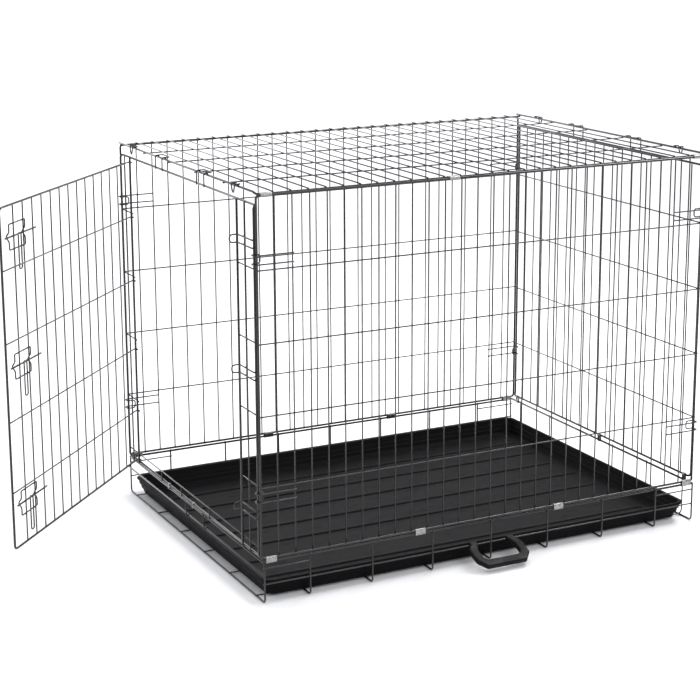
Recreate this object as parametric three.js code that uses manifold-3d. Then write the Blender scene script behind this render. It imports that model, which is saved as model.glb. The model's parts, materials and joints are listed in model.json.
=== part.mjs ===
// Wire dog crate: a welded-wire kennel on a wire floor frame with a pull-out plastic tray,
// a hinged lid, a right end that folds in, and a left end with a side-hinged door.
// Units are millimetres. +X runs to the right along the long side, +Y to the back, +Z up.
// The origin is on the flat underside of the middle floor wire, at the centre of the crate.
import * as THREE from 'three';
import { mergeVertices } from 'three/addons/utils/BufferGeometryUtils.js';
import Module from 'manifold-3d';

const wasm = await Module();
wasm.setup();

// ---------- driving dimensions ----------
const LENGTH = 1067;            // between the corner posts of a long side
const WIDTH = 768;              // between the weld planes of the two long sides
const HEIGHT = 835;             // floor to the centre of the long sides' top wires
const PANEL_BOTTOM = 95;        // floor to the centre of the panels' bottom wires
const WIRE_PITCH = 38.1;        // between upright wires
const ROW_GAPS = 5;             // gaps between the horizontal wires of a side
const THIN = 1.5;               // radius of the mesh wire
const MEDIUM = 2;               // radius of hooks' heavy wire and rails
const THICK = 2.5;              // radius of the rim wire
const WELD = 0.5;               // how far two welded wires sink into each other
const GAP = 0.4;                // running or resting clearance between pieces

const END_DROP = 20;            // end panels' top wire below the long sides' top wire
const END_CLEAR = 0.8;          // between an end panel's post and a long side's post
const LID_CLEAR = 1;            // between the lid's long rim and the corner posts
const LID_RISE = 1;             // lid's long rim above the long sides' top wire
const LID_LONG_WIRES = 4;       // long wires between the lid's rims

const RIGHT_END_RISE = 6;       // right end's bottom wire above the sides' bottom wires
const THRESHOLD_RISE = 19;      // doorway's lower wire above the left end's bottom wire
const THRESHOLD_TIES = [-0.3, 0.13, 0.45]; // short uprights under it, as shares of half the end

const RIM_DROP = 7;             // floor frame's rim below the panels' bottom wires
const FLOOR_HOOP_PITCH = 142.9; // between the hoops that pass under the tray
const FLOOR_LONG_WIRES = 6;     // long wires that carry the tray
const LONG_FROM_RING = 9.395;   // outermost long wires in from the right end's outer rings
const LOW_RAIL_DROP = 48;       // long low rail below the floor frame's rim
const HIGH_RAIL_DROP = 14;      // short corner rails below the rim
const END_RAIL_DROP = 26;       // left end's rail below the rim
const END_HOOP_INSET = 3;       // end hoops in from the corner posts

const TRAY_HEIGHT = 38;
const TRAY_WALL = 2.5;
const TRAY_INSET = 6;           // tray's rim in from the long sides
const TRAY_END_LEFT = 8;        // tray's rim in from the left posts
const TRAY_END_RIGHT = 11;      // tray's rim in from the right posts
const TRAY_TAPER = 9;           // the walls lean in by this much at the floor
const TRAY_FLANGE = 4;          // width of the turned-out rim
const TRAY_CHAMFER = 12;        // cut across each corner
const TRAY_RIBS = 7;
const TRAY_RIB_HEIGHT = 2.5;
const TRAY_RIB_WIDTH = 10;

const HINGE_FROM_BACK = 70;     // door's hinge wire in from the back weld plane
const JAMB_PAIR = 37;           // between the two wires of a jamb
const JAMB_FROM_FRONT = 91;     // inner near jamb in from the front weld plane
const DOOR_OVERLAP = 4;         // door's free edge past the near jamb
const DOOR_GAP_BOTTOM = 7;      // door's lower edge above the left end's bottom wire
const DOOR_GAP_TOP = 10;        // door's upper edge below the left end's top wire
const DOOR_ROW_DROPS = [22, 22, 8, 8]; // door's rows below the side rows; its eyes clear the stubs
const DOOR_OPEN = 44;           // degrees from closed, as it stands
const DOOR_CORNER = 10;         // bend radius of the door's free corners
const DOOR_UPRIGHTS = 13;
const DOOR_EDGE_GAP = 1.4;      // first gap from the free edge, in gaps of the rest
const DOOR_HINGE_EDGE = 14;     // door's own hinge-side wire from the hinge wire

const LOW_BOLT_DROP = 28;       // low bolt below the lower side hooks
const MIDDLE_BOLT = 0.529;      // middle bolt's height, as a share of the door's own height
const HIGH_BOLT_RISE = 22;      // high bolt above the upper side hooks
const BOLT_REACH = 29;          // bolt's tip in from the door's free edge
const BOLT_LENGTH = 132;
const BOLT_HANDLE = 74;         // handle's drop below the bolt
const BOLT_HANDLE_FROM_TIP = 64;
const HAIRPIN_GAP = 12;         // between the two legs of a bolt's handle
const GUIDE_SPREAD = 26;        // bolt guide's bars above and below the bolt
const GUIDE_NECK = 10;          // bolt guide's noses start this far above and below the bolt
const GUIDE_FROM_EDGE = 45;     // bolt guide's near end in from the door's free edge
const GUIDE_LENGTH = 68;
const GUIDE_NOSE = 7;           // bolt guide's noses out from its bars
const KEEPER_SPREAD = 8;        // keeper's legs above and below the bolt
const KEEPER_FROM_JAMB = 11;    // keeper's loop short of the near jamb
const KEEPER_DEPTH = 17;        // keeper's loop beyond its legs

const SIDE_HOOK_SPREAD = 18;    // between the two legs of a side hook
const SIDE_HOOK_OFFSET = 12;    // nearer leg from the row beside it
const SIDE_HOOK_GAPS = 2.05;    // hook's length along the side, in gaps between uprights
const SIDE_HOOK_TIP = 12;       // hook's closed end in from the corner post
const TOP_HOOK_WIDTH = 40;
const TOP_HOOK_PLACE = 0.307;   // hooks' middles, as a share of half the crate's width
const TOP_HOOK_INSIDE = 11;     // hook's closed end in from the lid's end rim
const CATCH_PLACE = 0.75;       // corner catches' middles, as a share of half the crate's width
const CATCH_WIDTH = 18;
const CATCH_INSIDE = 5;         // catch's ends in from the lid's end rim
const CATCH_DROP = 8;           // catch's point below the lid's height

const CLIP_WALL = 0.8;
const CLIP_WIDTH = 24;          // along the wires it holds
const RING_WIDTH = 8;           // narrower rings that hinge the ends
const LEFT_RINGS = [-0.04, 0.346]; // left end's rings, as shares of half the end

const HANDLE_CENTRE = 3;        // carry handle's middle along the long side
const HANDLE_FOOT = 54;         // half its width where it hangs
const HANDLE_SHOULDER = 66;     // half its greatest width
const HANDLE_GRIP = 47;         // half the width of the grip's flat edge
const HANDLE_ARM = 17;          // width of its arms
const HANDLE_REACH = 76;
const HANDLE_THICKNESS = 12;
const HANDLE_TIP_HEIGHT = 11.53; // the grip's edge above the floor, as it hangs
const STOP_WIDTH = 100;
const STOP_CENTRE = -34;
const STOP_REACH = 33;

// ---------- places worked out from them ----------
const HALF_L = LENGTH / 2;
const HALF_W = WIDTH / 2;
const SQUARE_FLAT = Math.SQRT1_2;       // flat-to-centre distance of a square of radius 1
const END_INSET = 3 * THICK + END_CLEAR;  // end panels' posts in from a long side's weld plane
const LID_INSET = 3 * THICK + LID_CLEAR;  // lid's long rim in from a long side's weld plane
const FRONT = -HALF_W;
const BACK = HALF_W;
const END_TOP = HEIGHT - END_DROP;
const ROW_STEP = (HEIGHT - PANEL_BOTTOM) / ROW_GAPS;
const rows = Array.from({ length: ROW_GAPS + 1 }, (_, i) => PANEL_BOTTOM + i * ROW_STEP);
const endRows = [...rows.slice(0, -1), END_TOP];
const RIM_HEIGHT = PANEL_BOTTOM - RIM_DROP;
const LOW_RAIL = RIM_HEIGHT - LOW_RAIL_DROP;
const HIGH_RAIL = RIM_HEIGHT - HIGH_RAIL_DROP;
const END_RAIL = RIM_HEIGHT - END_RAIL_DROP;
const RIM_OUT = THICK - WELD;           // rim wire's centre outside the weld plane
const HINGE_Y = BACK - HINGE_FROM_BACK;
const HINGE_OUT = THICK;                // hinge wire's centre outside the end's weld plane
const NEAR_JAMB = FRONT + JAMB_FROM_FRONT;
const DOOR_WIDTH = HINGE_Y - NEAR_JAMB + DOOR_OVERLAP;
const DOOR_BOTTOM = PANEL_BOTTOM + DOOR_GAP_BOTTOM;
const DOOR_TOP = END_TOP - DOOR_GAP_TOP;
const upperRow = rows[ROW_GAPS - 1];
const lowerRow = rows[1];
const boltHeights = [
  lowerRow - SIDE_HOOK_OFFSET - SIDE_HOOK_SPREAD - LOW_BOLT_DROP,
  DOOR_BOTTOM + MIDDLE_BOLT * (DOOR_TOP - DOOR_BOTTOM),
  upperRow + SIDE_HOOK_OFFSET + SIDE_HOOK_SPREAD + HIGH_BOLT_RISE,
];
const EYE_RADIUS = THICK + GAP + THIN;
const LID_HEIGHT = HEIGHT + LID_RISE;
const LID_TOP = LID_HEIGHT + 2 * THICK - WELD;

const BLACK_WIRE = { color: 0x1d1a1c, roughness: 0.32, metalness: 0.55 };
const ZINC = { color: 0xb9b9b6, roughness: 0.35, metalness: 0.9 };
const PLASTIC = { color: 0x2b2a2d, roughness: 0.55, metalness: 0 };
const HANDLE_PLASTIC = { color: 0x121213, roughness: 0.5, metalness: 0 };

const crate = new THREE.Group();

// ---------- solids ----------
function toSolid(geometry) {
  const bare = geometry.index ? geometry.toNonIndexed() : geometry.clone();
  bare.deleteAttribute('normal');
  bare.deleteAttribute('uv');
  const merged = mergeVertices(bare, 1e-4);
  return new wasm.Manifold(new wasm.Mesh({
    numProp: 3,
    vertProperties: new Float32Array(merged.attributes.position.array),
    triVerts: new Uint32Array(merged.index.array),
  }));
}

function toGeometry(solid) {
  const mesh = solid.getMesh();
  const geometry = new THREE.BufferGeometry();
  geometry.setAttribute('position', new THREE.BufferAttribute(mesh.vertProperties, 3));
  geometry.setIndex(new THREE.BufferAttribute(mesh.triVerts, 1));
  geometry.computeVertexNormals();
  return geometry;
}

const fuse = (geometries) => toGeometry(geometries.map(toSolid).reduce((a, b) => a.add(b)));
const cut = (geometry, ...tools) =>
  toGeometry(tools.map(toSolid).reduce((a, b) => a.subtract(b), toSolid(geometry)));

function addPiece(name, geometry, finish, parent = crate) {
  const mesh = new THREE.Mesh(geometry, new THREE.MeshStandardMaterial(finish));
  mesh.name = name;
  parent.add(mesh);
  return mesh;
}

// Mesh wire has four sides and heavier wire six.
const sidesOf = (radius) => (radius > THIN ? 6 : 4);

// A straight wire with one ridge towards `facing`.
function straightWire(from, to, radius, facing, sides = sidesOf(radius)) {
  const start = new THREE.Vector3(...from);
  const end = new THREE.Vector3(...to);
  const along = end.clone().sub(start);
  const geometry = new THREE.CylinderGeometry(radius, radius, along.length(), sides);
  const up = along.clone().normalize();
  const out = new THREE.Vector3(...facing);
  const side = up.clone().cross(out).normalize();
  geometry.applyMatrix4(new THREE.Matrix4().makeBasis(side, up, side.clone().cross(up)));
  const middle = start.add(end).multiplyScalar(0.5);
  return geometry.translate(middle.x, middle.y, middle.z);
}

// A route for a bent wire, followed point by point.
class WireRoute extends THREE.Curve {
  constructor(points) {
    super();
    this.points = points;
  }

  getPoint(t) {
    const last = this.points.length - 1;
    return this.points[Math.min(last, Math.round(t * last))].clone();
  }

  getPointAt(u) {
    return this.getPoint(u);
  }

  getTangentAt(u) {
    const last = this.points.length - 1;
    const i = Math.min(last, Math.round(u * last));
    const before = this.points[Math.max(0, i - 1)];
    const after = this.points[Math.min(last, i + 1)];
    return after.clone().sub(before).normalize();
  }
}

// Corners given as [x, y, z] become arcs of the bend radius.
function roundCorners(corners, bend, steps = 2) {
  const points = corners.map((corner) => new THREE.Vector3(...corner));
  const route = [points[0]];
  for (let i = 1; i < points.length - 1; i++) {
    const back = points[i - 1].clone().sub(points[i]);
    const ahead = points[i + 1].clone().sub(points[i]);
    const reach = Math.min(bend, 0.49 * back.length(), 0.49 * ahead.length());
    const arc = new THREE.QuadraticBezierCurve3(
      points[i].clone().add(back.setLength(reach)),
      points[i],
      points[i].clone().add(ahead.setLength(reach)),
    );
    route.push(...arc.getPoints(steps));
  }
  route.push(points[points.length - 1]);
  return route;
}

// A polygon section with a corner (or, turned, a flat) towards local y.
function wireSection(radius, sides, flatOut) {
  const turn = Math.PI / 2 + (flatOut ? Math.PI / sides : 0);
  const section = new THREE.Shape();
  for (let i = 0; i < sides; i++) {
    const angle = turn + (i * 2 * Math.PI) / sides;
    const place = [radius * Math.cos(angle), radius * Math.sin(angle)];
    if (i === 0) section.moveTo(...place);
    else section.lineTo(...place);
  }
  section.closePath();
  return section;
}

function sweptWire(points, radius, { sides = sidesOf(radius), flatOut = false } = {}) {
  const extrudePath = new WireRoute(points);
  const section = wireSection(radius, sides, flatOut);
  return new THREE.ExtrudeGeometry(section, { steps: points.length - 1, extrudePath });
}

const bentWire = (corners, radius, bend, options = {}) =>
  sweptWire(roundCorners(corners, bend, options.steps), radius, options);

// An arc of points about an axis along Z, from one angle to another, in degrees.
function arcPoints(centre, radius, from, to, z, steps) {
  return Array.from({ length: steps + 1 }, (_, i) => {
    const angle = THREE.MathUtils.degToRad(from + ((to - from) * i) / steps);
    return new THREE.Vector3(
      centre[0] + radius * Math.cos(angle),
      centre[1] + radius * Math.sin(angle),
      z,
    );
  });
}

// A flat grille: wires at `at` across u, running along v, and the other way round.
// The v wires lie behind the weld plane and the u wires in front of it, towards n.
function grille({ place, ridge, vWires, uWires }) {
  const bars = [];
  for (const { at, from, to, radius } of vWires)
    bars.push(straightWire(place(at, from, -radius), place(at, to, -radius), radius, ridge));
  for (const { at, from, to, radius } of uWires) {
    const lift = radius - WELD;
    bars.push(straightWire(place(from, at, lift), place(to, at, lift), radius, ridge));
  }
  return fuse(bars);
}

const evenly = (count, from, to) =>
  Array.from({ length: count }, (_, i) => from + ((to - from) * (i + 1)) / (count + 1));

const SIDE_GAPS = Math.round(LENGTH / WIRE_PITCH);
const sideUprights = evenly(SIDE_GAPS - 1, -HALF_L, HALF_L);
const SIDE_PITCH = LENGTH / SIDE_GAPS;

// ---------- long sides ----------
for (const [name, side] of [['front_panel', -1], ['back_panel', 1]]) {
  const overrun = 1.2;
  const upright = { from: PANEL_BOTTOM - overrun, to: HEIGHT + overrun };
  addPiece(name, grille({
    place: (u, v, n) => [u, side * (HALF_W + n), v],
    ridge: [0, 1, 0],
    vWires: [
      ...[-HALF_L, HALF_L].map((at) => ({ at, ...upright, radius: THICK })),
      ...sideUprights.map((at) => ({ at, ...upright, radius: THIN })),
    ],
    uWires: rows.map((at, i) => ({
      at,
      from: -HALF_L - overrun,
      to: HALF_L + overrun,
      radius: i === 0 || i === ROW_GAPS ? THICK : THIN,
    })),
  }), BLACK_WIRE);
}

// ---------- right end ----------
const END_HALF = HALF_W - END_INSET;
const END_GAPS = Math.round((2 * END_HALF) / WIRE_PITCH);
const endGap = (2 * END_HALF) / END_GAPS;
const outerRing = END_HALF - endGap / 2;
{
  const overrun = 1.2;
  const lowest = PANEL_BOTTOM + RIGHT_END_RISE;
  const upright = { from: lowest - overrun, to: END_TOP + overrun };
  addPiece('right_end_panel', grille({
    place: (u, v, n) => [HALF_L - n, u, v],
    ridge: [1, 0, 0],
    vWires: [
      ...[-END_HALF, END_HALF].map((at) => ({ at, ...upright, radius: THICK })),
      ...evenly(END_GAPS - 1, -END_HALF, END_HALF).map((at) => ({ at, ...upright, radius: THIN })),
    ],
    uWires: [lowest, ...endRows.slice(1)].map((at, i) => ({
      at,
      from: -END_HALF - overrun,
      to: END_HALF + overrun,
      radius: i === 0 || i === ROW_GAPS ? THICK : THIN,
    })),
  }), BLACK_WIRE);
}

// ---------- left end: the frame round the doorway ----------
const farJamb = HINGE_Y + JAMB_PAIR;
{
  const overrun = 1.2;
  const upright = { from: PANEL_BOTTOM - overrun, to: END_TOP + overrun };
  const stubs = endRows.slice(1, -1).flatMap((at) => [
    { at, from: -END_HALF - overrun, to: NEAR_JAMB + overrun, radius: THIN },
    { at, from: HINGE_Y - overrun, to: END_HALF + overrun, radius: THIN },
  ]);
  const across = (at, radius) => ({ at, from: -END_HALF - overrun, to: END_HALF + overrun, radius });
  const threshold = PANEL_BOTTOM + THRESHOLD_RISE;
  const ties = THRESHOLD_TIES.map((share) => share * END_HALF);
  addPiece('left_end_frame', grille({
    place: (u, v, n) => [-HALF_L + n, u, v],
    ridge: [1, 0, 0],
    vWires: [
      { at: -END_HALF, ...upright, radius: THICK },
      { at: NEAR_JAMB - JAMB_PAIR, ...upright, radius: THIN },
      { at: NEAR_JAMB, ...upright, radius: THICK },
      { at: HINGE_Y, ...upright, radius: THICK },
      { at: farJamb, ...upright, radius: THIN },
      { at: END_HALF, ...upright, radius: THICK },
      ...ties.map((at) => (
        { at, from: PANEL_BOTTOM - overrun, to: threshold + overrun, radius: THIN })),
    ],
    uWires: [
      across(PANEL_BOTTOM, THICK),
      across(threshold, THIN),
      across(END_TOP, THICK),
      ...stubs,
    ],
  }), BLACK_WIRE);
}

// ---------- lid ----------
const LID_HALF = HALF_W - LID_INSET;
const lid = new THREE.Group();
lid.name = 'lid';
crate.add(lid);
{
  const overrun = 3;
  const restOver = 4;
  const across = { from: -LID_HALF - overrun, to: HALF_W + restOver };
  const along = { from: -HALF_L - overrun, to: HALF_L + overrun };
  addPiece('top_panel', grille({
    place: (u, v, n) => [v, u, LID_HEIGHT + THICK + n],
    ridge: [0, 0, 1],
    vWires: [
      ...[-LID_HALF, LID_HALF].map((at) => ({ at, ...along, radius: THICK })),
      ...evenly(LID_LONG_WIRES, -LID_HALF, LID_HALF).map((at) => ({ at, ...along, radius: THIN })),
    ],
    uWires: [
      ...[-HALF_L, HALF_L].map((at) => ({ at, ...across, radius: THICK })),
      ...sideUprights.map((at) => ({ at, ...across, radius: THIN })),
    ],
  }), BLACK_WIRE, lid);
}

// Hairpins on the lid's ends that hang outside the end panels' top wires.
const LID_EDGE_TOP = LID_HEIGHT + 3 * THICK - WELD;
for (const [end, sign] of [['left', -1], ['right', 1]]) {
  [-1, 1].forEach((place, i) => {
    const middle = place * TOP_HOOK_PLACE * HALF_W;
    const out = sign * (HALF_L + 2 * THICK + GAP + THIN + 0.5);
    const inside = sign * (HALF_L - TOP_HOOK_INSIDE);
    const top = LID_EDGE_TOP + GAP + THIN;
    const low = END_TOP;
    const near = middle - TOP_HOOK_WIDTH / 2;
    const far = middle + TOP_HOOK_WIDTH / 2;
    const route = [
      [out, near, low], [out, near, top], [inside, near, top],
      [inside, far, top], [out, far, top], [out, far, low],
    ];
    addPiece(`top_hook_${end}_${i + 1}`, bentWire(route, THIN, 5), BLACK_WIRE, lid);

    const corner = place * CATCH_PLACE * HALF_W;
    const over = sign * (HALF_L - CATCH_INSIDE);
    const point = LID_HEIGHT - CATCH_DROP;
    const v = [
      [over, corner - CATCH_WIDTH / 2, top], [out, corner - CATCH_WIDTH / 2, top],
      [out, corner - 3, point], [out, corner + 3, point],
      [out, corner + CATCH_WIDTH / 2, top], [over, corner + CATCH_WIDTH / 2, top],
    ];
    addPiece(`corner_catch_${end}_${i + 1}`, bentWire(v, THIN, 3), BLACK_WIRE, lid);
  });
}

// ---------- side hooks: hairpins on the long sides that reach round the end posts ----------
for (const [sideName, side] of [['front', -1], ['back', 1]]) {
  for (const [endName, end] of [['left', -1], ['right', 1]]) {
    for (const [rowName, height] of [
      ['upper', upperRow + SIDE_HOOK_OFFSET + SIDE_HOOK_SPREAD / 2],
      ['lower', lowerRow - SIDE_HOOK_OFFSET - SIDE_HOOK_SPREAD / 2],
    ]) {
      const outside = side * (HALF_W + THIN + GAP);
      const inside = side * (END_HALF - THICK - GAP - 2 * THIN);
      const round = end * (HALF_L + 2 * THICK + GAP + THIN + 0.3);
      const start = end * (HALF_L - SIDE_HOOK_GAPS * SIDE_PITCH);
      const tip = end * (HALF_L - SIDE_HOOK_TIP);
      const low = height - SIDE_HOOK_SPREAD / 2;
      const high = height + SIDE_HOOK_SPREAD / 2;
      const route = [
        [start, outside, low], [round, outside, low], [round, inside, low], [tip, inside, low],
        [tip, inside, high], [round, inside, high], [round, outside, high], [start, outside, high],
      ];
      addPiece(`side_hook_${sideName}_${endName}_${rowName}`,
        bentWire(route, THIN, 6), BLACK_WIRE);
    }
  }
}

// ---------- keepers on the near jamb ----------
boltHeights.forEach((height, i) => {
  const legs = -HALF_L - 2 * THICK - GAP - THIN;
  const loop = legs - KEEPER_DEPTH;
  const from = -END_HALF;
  const to = NEAR_JAMB - KEEPER_FROM_JAMB;
  const low = height - KEEPER_SPREAD;
  const high = height + KEEPER_SPREAD;
  const route = [
    [legs, from, low], [legs, to, low], [loop, to, low],
    [loop, to, high], [legs, to, high], [legs, from, high],
  ];
  addPiece(`bolt_keeper_${i + 1}`, bentWire(route, THIN, KEEPER_SPREAD - 1), BLACK_WIRE);
});

// ---------- door, drawn closed in its own frame: s runs from the hinge wire to the free edge ----------
const door = new THREE.Group();
door.name = 'door';
door.position.set(-HALF_L - HINGE_OUT, HINGE_Y, 0);
door.rotation.z = THREE.MathUtils.degToRad(-DOOR_OPEN);
crate.add(door);
const onDoor = (s, out, z) => [-out, -s, z];
const DOOR_MESH_OUT = EYE_RADIUS;
const DOOR_UPRIGHT_OUT = DOOR_MESH_OUT + 2 * THIN - WELD;
const DOOR_FRAME_OUT = (DOOR_MESH_OUT + DOOR_UPRIGHT_OUT) / 2;
const doorGap = (DOOR_WIDTH - DOOR_HINGE_EDGE) / (DOOR_UPRIGHTS + DOOR_EDGE_GAP);
const doorUprights = Array.from(
  { length: DOOR_UPRIGHTS },
  (_, i) => DOOR_HINGE_EDGE + (i + 1) * doorGap,
);
{
  const middleRows = rows.slice(1, -1).map((z, i) => z - DOOR_ROW_DROPS[i]);
  const doorRows = [DOOR_BOTTOM, ...middleRows, DOOR_TOP];
  const frame = bentWire([
    onDoor(DOOR_HINGE_EDGE, DOOR_FRAME_OUT, DOOR_BOTTOM),
    onDoor(DOOR_WIDTH, DOOR_FRAME_OUT, DOOR_BOTTOM),
    onDoor(DOOR_WIDTH, DOOR_FRAME_OUT, DOOR_TOP),
    onDoor(DOOR_HINGE_EDGE, DOOR_FRAME_OUT, DOOR_TOP),
  ], THICK, DOOR_CORNER);
  const uprights = [DOOR_HINGE_EDGE, ...doorUprights].map((s) => straightWire(
    onDoor(s, DOOR_UPRIGHT_OUT, DOOR_BOTTOM - 1),
    onDoor(s, DOOR_UPRIGHT_OUT, DOOR_TOP + 1),
    THIN,
    [1, 0, 0],
  ));
  const eyeAndRow = doorRows.flatMap((z) => {
    const eye = arcPoints([0, 0], EYE_RADIUS, -60, 170, z, 6);
    const atEdge = z === DOOR_BOTTOM || z === DOOR_TOP;
    const end = atEdge ? DOOR_HINGE_EDGE + doorGap + 1.2 : DOOR_WIDTH + 1;
    const bar = straightWire(
      onDoor(-0.3, DOOR_MESH_OUT, z), onDoor(end, DOOR_MESH_OUT, z), THIN, [1, 0, 0]);
    return [bar, sweptWire([...eye, new THREE.Vector3(-EYE_RADIUS, -1.5, z)], THIN)];
  });
  addPiece('door_panel', fuse([frame, ...uprights, ...eyeAndRow]), BLACK_WIRE, door);
}

const BOLT_OUT = DOOR_UPRIGHT_OUT + THIN + GAP + MEDIUM;
boltHeights.forEach((height, i) => {
  const tip = DOOR_WIDTH - BOLT_REACH;
  const grip = tip - BOLT_HANDLE_FROM_TIP;
  const gripOut = BOLT_OUT + 2 * MEDIUM + GAP;
  const bar = straightWire(
    onDoor(tip - BOLT_LENGTH, BOLT_OUT, height), onDoor(tip, BOLT_OUT, height), MEDIUM, [1, 0, 0]);
  const hairpin = bentWire([
    onDoor(grip, BOLT_OUT, height), onDoor(grip, gripOut, height),
    onDoor(grip, gripOut, height - BOLT_HANDLE),
    onDoor(grip - HAIRPIN_GAP, gripOut, height - BOLT_HANDLE),
    onDoor(grip - HAIRPIN_GAP, gripOut, height), onDoor(grip - HAIRPIN_GAP, BOLT_OUT, height),
  ], THIN, 4);
  addPiece(`slide_bolt_${i + 1}`, fuse([bar, hairpin]), BLACK_WIRE, door);

  const seat = DOOR_UPRIGHT_OUT + 2 * THIN + GAP;
  const nose = seat + GUIDE_NOSE;
  const near = DOOR_WIDTH - GUIDE_FROM_EDGE;
  const far = near - GUIDE_LENGTH;
  const join = (near + far) / 2;
  const guide = bentWire([
    onDoor(join + 1, seat, height + GUIDE_SPREAD),
    onDoor(near, seat, height + GUIDE_SPREAD),
    onDoor(near, seat, height + GUIDE_NECK),
    onDoor(near, nose, height),
    onDoor(near, seat, height - GUIDE_NECK),
    onDoor(near, seat, height - GUIDE_SPREAD),
    onDoor(far, seat, height - GUIDE_SPREAD),
    onDoor(far, seat, height - GUIDE_NECK),
    onDoor(far, nose, height),
    onDoor(far, seat, height + GUIDE_NECK),
    onDoor(far, seat, height + GUIDE_SPREAD),
    onDoor(join, seat, height + GUIDE_SPREAD),
  ], THIN, 3);
  addPiece(`bolt_guide_${i + 1}`, guide, BLACK_WIRE, door);
});

// ---------- floor frame ----------
const HOOP = MEDIUM;
const hoopFloor = HOOP * SQUARE_FLAT;
const hoopOut = HALF_W + RIM_OUT + THICK + hoopFloor - WELD;
const longWireHeight = 2 * hoopFloor + THIN * SQUARE_FLAT - WELD;
const railY = hoopOut - hoopFloor - THIN + WELD;
const endHoop = HALF_L - END_HOOP_INSET;
const END_RAIL_X = endHoop + hoopFloor + MEDIUM - WELD;
{
  const rimX = HALF_L - RIM_OUT;
  const rimY = HALF_W + RIM_OUT;
  const endRimHeight = RIM_HEIGHT - 0.3;
  const overrun = 2.6;
  const hoop = (x) => bentWire([
    [x, -hoopOut, RIM_HEIGHT + 2], [x, -hoopOut, hoopFloor],
    [x, hoopOut, hoopFloor], [x, hoopOut, RIM_HEIGHT + 2],
  ], HOOP, 7, { sides: 4, flatOut: true });
  const hoopGaps = 2 * Math.floor((endHoop - FLOOR_HOOP_PITCH / 2) / FLOOR_HOOP_PITCH);
  const hoopPlaces = Array.from(
    { length: hoopGaps + 1 },
    (_, i) => (i - hoopGaps / 2) * FLOOR_HOOP_PITCH,
  );
  const lastHoop = hoopPlaces[hoopGaps];
  const outermost = outerRing - LONG_FROM_RING;
  const longPlaces = Array.from(
    { length: FLOOR_LONG_WIRES },
    (_, i) => outermost * ((2 * i) / (FLOOR_LONG_WIRES - 1) - 1),
  );
  const turnUpX = rimX + THICK + THIN * SQUARE_FLAT - WELD;
  const lie = [0, 1, 0];
  const parts = [
    ...[-rimY, rimY].map((y) => straightWire(
      [-rimX - THICK, y, RIM_HEIGHT], [rimX + THICK, y, RIM_HEIGHT], THICK, lie)),
    ...[-rimX, rimX].map((x) => straightWire(
      [x, -rimY, endRimHeight], [x, rimY, endRimHeight], THICK, [1, 0, 0])),
    ...[-endHoop, ...hoopPlaces, endHoop].map(hoop),
    ...longPlaces.map((y) => bentWire([
      [-endHoop - overrun, y, longWireHeight], [turnUpX, y, longWireHeight],
      [turnUpX, y, RIM_HEIGHT + 2],
    ], THIN, 7, { sides: 4, flatOut: true })),
    ...[-railY, railY].map((y) => straightWire(
      [-endHoop - overrun, y, LOW_RAIL], [endHoop + overrun, y, LOW_RAIL], THIN, lie)),
    ...[-1, 1].flatMap((end) => [-railY, railY].map((y) => straightWire(
      [end * (endHoop + overrun), y, HIGH_RAIL], [end * (lastHoop - overrun), y, HIGH_RAIL],
      THIN, lie))),
    straightWire([-END_RAIL_X, -hoopOut - overrun, END_RAIL],
      [-END_RAIL_X, hoopOut + overrun, END_RAIL], MEDIUM, [1, 0, 0]),
  ];
  addPiece('floor_frame', fuse(parts), BLACK_WIRE);
}

// ---------- tray ----------
function chamferedOutline(left, right, halfWidth, chamfer) {
  const outline = new THREE.Shape();
  outline.moveTo(left + chamfer, -halfWidth);
  outline.lineTo(right - chamfer, -halfWidth);
  outline.lineTo(right, -halfWidth + chamfer);
  outline.lineTo(right, halfWidth - chamfer);
  outline.lineTo(right - chamfer, halfWidth);
  outline.lineTo(left + chamfer, halfWidth);
  outline.lineTo(left, halfWidth - chamfer);
  outline.lineTo(left, -halfWidth + chamfer);
  outline.closePath();
  return outline;
}

// A pan-shaped block that widens by `taper` over `height`, and tapers back above it.
function taperedBlock(left, right, halfWidth, chamfer, taper, height, bottom) {
  return new THREE.ExtrudeGeometry(chamferedOutline(left, right, halfWidth, chamfer), {
    depth: 1,
    bevelThickness: height,
    bevelSize: taper,
    bevelSegments: 1,
  }).translate(0, 0, bottom + height);
}

{
  const bottom = longWireHeight + THIN * SQUARE_FLAT + GAP;
  const rim = bottom + TRAY_HEIGHT;
  const left = -HALF_L + TRAY_END_LEFT;
  const right = HALF_L - TRAY_END_RIGHT;
  const halfWidth = HALF_W - TRAY_INSET;
  const inner = TRAY_TAPER + TRAY_FLANGE;
  const pan = taperedBlock(
    left + inner, right - inner, halfWidth - inner, TRAY_CHAMFER, TRAY_TAPER, TRAY_HEIGHT, bottom);
  const hollow = taperedBlock(
    left + inner + TRAY_WALL, right - inner - TRAY_WALL, halfWidth - inner - TRAY_WALL,
    TRAY_CHAMFER, TRAY_TAPER, TRAY_HEIGHT, bottom + TRAY_WALL);
  const flange = new THREE.ExtrudeGeometry(
    chamferedOutline(left, right, halfWidth, TRAY_CHAMFER),
    { depth: TRAY_WALL, bevelEnabled: false },
  ).translate(0, 0, rim - TRAY_WALL);
  const above = new THREE.BoxGeometry(2 * LENGTH, 2 * WIDTH, 2 * TRAY_HEIGHT)
    .translate(0, 0, rim + TRAY_HEIGHT);
  const ribs = evenly(TRAY_RIBS, -halfWidth + inner, halfWidth - inner).map((y) =>
    new THREE.BoxGeometry(right - left - 4 * inner, TRAY_RIB_WIDTH, TRAY_RIB_HEIGHT + 1)
      .translate((left + right) / 2, y, bottom + TRAY_WALL + (TRAY_RIB_HEIGHT - 1) / 2));
  const shell = cut(fuse([pan, flange]), above, hollow);
  addPiece('tray', fuse([shell, ...ribs]), PLASTIC);
}

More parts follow.
